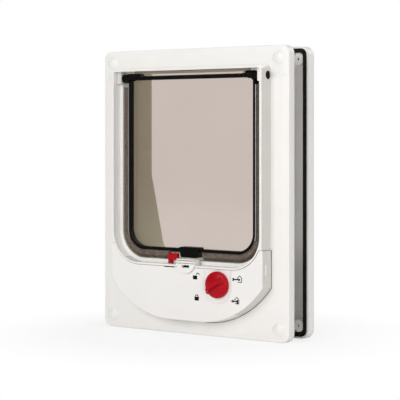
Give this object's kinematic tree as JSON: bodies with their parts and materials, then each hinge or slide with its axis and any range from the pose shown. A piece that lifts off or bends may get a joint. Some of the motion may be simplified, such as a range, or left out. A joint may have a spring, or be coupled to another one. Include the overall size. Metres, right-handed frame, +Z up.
{
  "type": "cat flap",
  "caption": "Cat flap for a door: framed tinted flap with a brush edge between pivots, control cover with a turning selector knob, and an outer frame with a seal.",
  "frame": {"origin": "centre of the four fixing screws, in the door-side plane of the inner flange", "axes": "+X to the right seen from the room, +Y from the room into the door, +Z up"},
  "size_m": [0.2, 0.0814, 0.254],
  "materials": {
    "white_shell": "smooth moulded, faintly warm white",
    "black_plastic": "satin moulded",
    "red_plastic": "glossy moulded",
    "grey_plastic": "moulded",
    "tinted_window": "clear, smoke tinted",
    "carrier_strip": "plain",
    "brush_pile": "dense short pile",
    "seal_foam": "closed-cell foam",
    "steel": "plain",
    "magnet": "nickel plated",
    "copper_wire": "enamelled wire",
    "cell_jacket": "printed film",
    "board_green": "solder mask",
    "board_part": "moulded"
  },
  "bodies": {
    "frame": {"battery_cells": "cell_jacket", "battery_contacts": "steel", "board_parts": "board_part", "board_screws": "steel", "bolt_spring": "steel", "catch_guard": "white_shell", "circuit_board": "board_green", "coil_yoke": "steel", "control_cover": "white_shell", "draught_lip": "tinted_window", "inner_frame": "white_shell", "lever_spring": "steel", "magnet_coil": "copper_wire", "outer_frame": "white_shell", "screw_caps": "white_shell", "weather_seal": "seal_foam"},
    "flap": {"flap_frame": "black_plastic", "flap_window": "tinted_window", "pivot_pin_left": "black_plastic", "pivot_pin_right": "black_plastic", "brush_carrier_left": "carrier_strip", "brush_carrier_right": "carrier_strip", "brush_left": "brush_pile", "brush_right": "brush_pile", "latch_block": "black_plastic", "flap_magnet": "magnet"},
    "knob": {"selector_knob": "red_plastic", "cam_spindle": "grey_plastic"},
    "lever": {"lock_lever": "red_plastic"},
    "bolt": {"latch_bolt": "black_plastic"}
  },
  "joints": [
    {"name": "flap_swing", "type": "hinge", "parent": "frame", "child": "flap", "pos_m": [0, -0.0128, 0.1013], "axis": [1, 0, 0], "range_deg": [-80, 68], "stiffness_Nm_per_rad": 0.03, "springref_deg": 4.96},
    {"name": "knob_turn", "type": "hinge", "parent": "frame", "child": "knob", "pos_m": [0.0353, -0.0208, -0.0798], "axis": [0, 1, 0], "range_deg": [0, 247]},
    {"name": "lever_slide", "type": "slide", "parent": "frame", "child": "lever", "axis": [0, 0, 1], "range_m": [-0.0055, 0], "deforming": ["lever_spring"]},
    {"name": "bolt_slide", "type": "slide", "parent": "frame", "child": "bolt", "axis": [0, 0, 1], "range_m": [0, 0.0045], "stiffness_N_per_m": 40, "deforming": ["bolt_spring"]}
  ],
  "couplings": [
    {"joint": "lever_slide", "follows": "knob_turn", "m_per_rad": -0.0012757}
  ]
}
